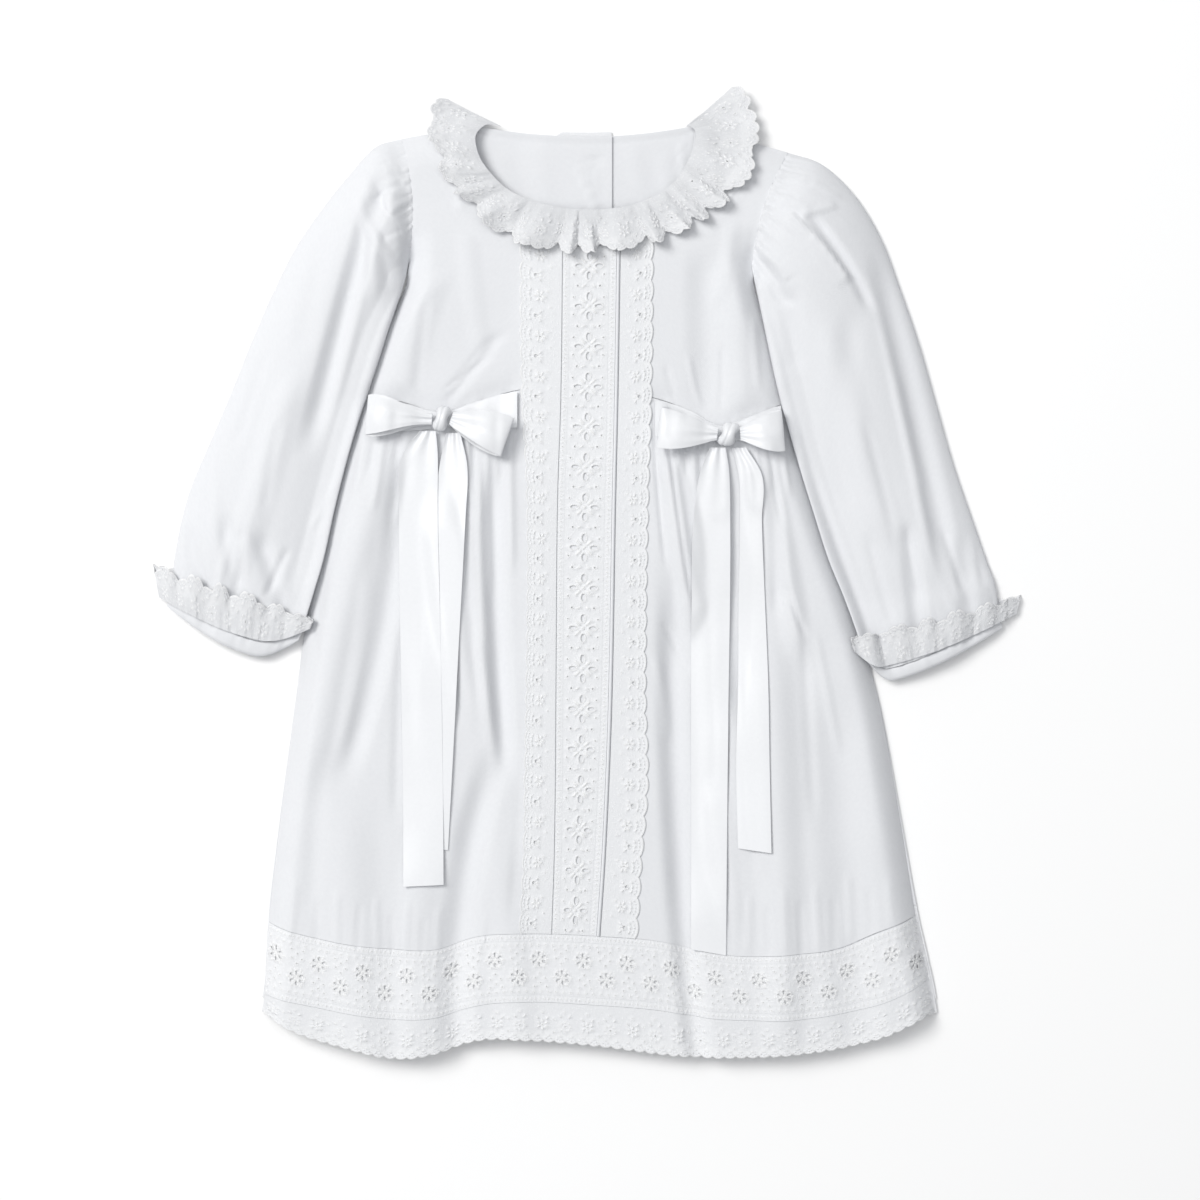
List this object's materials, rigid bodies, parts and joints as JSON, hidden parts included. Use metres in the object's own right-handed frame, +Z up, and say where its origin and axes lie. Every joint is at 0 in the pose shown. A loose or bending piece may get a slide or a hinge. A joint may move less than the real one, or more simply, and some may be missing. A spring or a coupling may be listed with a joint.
{
  "type": "baby dress",
  "caption": "Toddler's long-sleeved cotton dress laid flat, with a gathered eyelet ruffle at neck and cuffs, a lace panel down the front, a lace hem and ribbon bows at the waist.",
  "frame": {"origin": "middle of the laid-out dress, on the surface it lies on", "axes": "+Z up from the surface, +Y from the hem to the neck, +X to the right of someone who looks down at the front"},
  "size_m": [0.5024, 0.563, 0.0253],
  "materials": {
    "cotton": "matt plain weave",
    "lace": "matt, embroidered and pierced",
    "satin": "satin sheen"
  },
  "bodies": {
    "root": {"back_bodice_left": "cotton", "back_bodice_right": "cotton", "back_skirt": "cotton", "back_hem_insertion": "lace", "back_hem_edging": "lace", "front_bodice_left": "cotton", "front_bodice_right": "cotton", "front_skirt_left": "cotton", "front_skirt_right": "cotton", "sleeve_left": "cotton", "sleeve_right": "cotton", "cuff_left": "cotton", "cuff_right": "cotton", "cuff_ruffle_left": "lace", "cuff_ruffle_right": "lace", "centre_insertion": "lace", "centre_beading_left": "lace", "centre_beading_right": "lace", "centre_tuck": "cotton", "centre_edging_left": "lace", "centre_edging_right": "lace", "hem_beading_upper": "lace", "hem_insertion": "lace", "hem_beading_lower": "lace", "hem_edging": "lace", "neck_ruffle": "lace", "neck_ruffle_back_left": "lace", "neck_ruffle_back_right": "lace", "bow_left_band_inner": "satin", "bow_left_band_outer": "satin", "bow_left_tail_short": "satin", "bow_left_tail_long": "satin", "bow_left_loop_inner": "satin", "bow_left_loop_outer": "satin", "bow_left_knot": "satin", "bow_right_band_inner": "satin", "bow_right_band_outer": "satin", "bow_right_tail_short": "satin", "bow_right_tail_long": "satin", "bow_right_loop_inner": "satin", "bow_right_loop_outer": "satin", "bow_right_knot": "satin"}
  },
  "joints": []
}
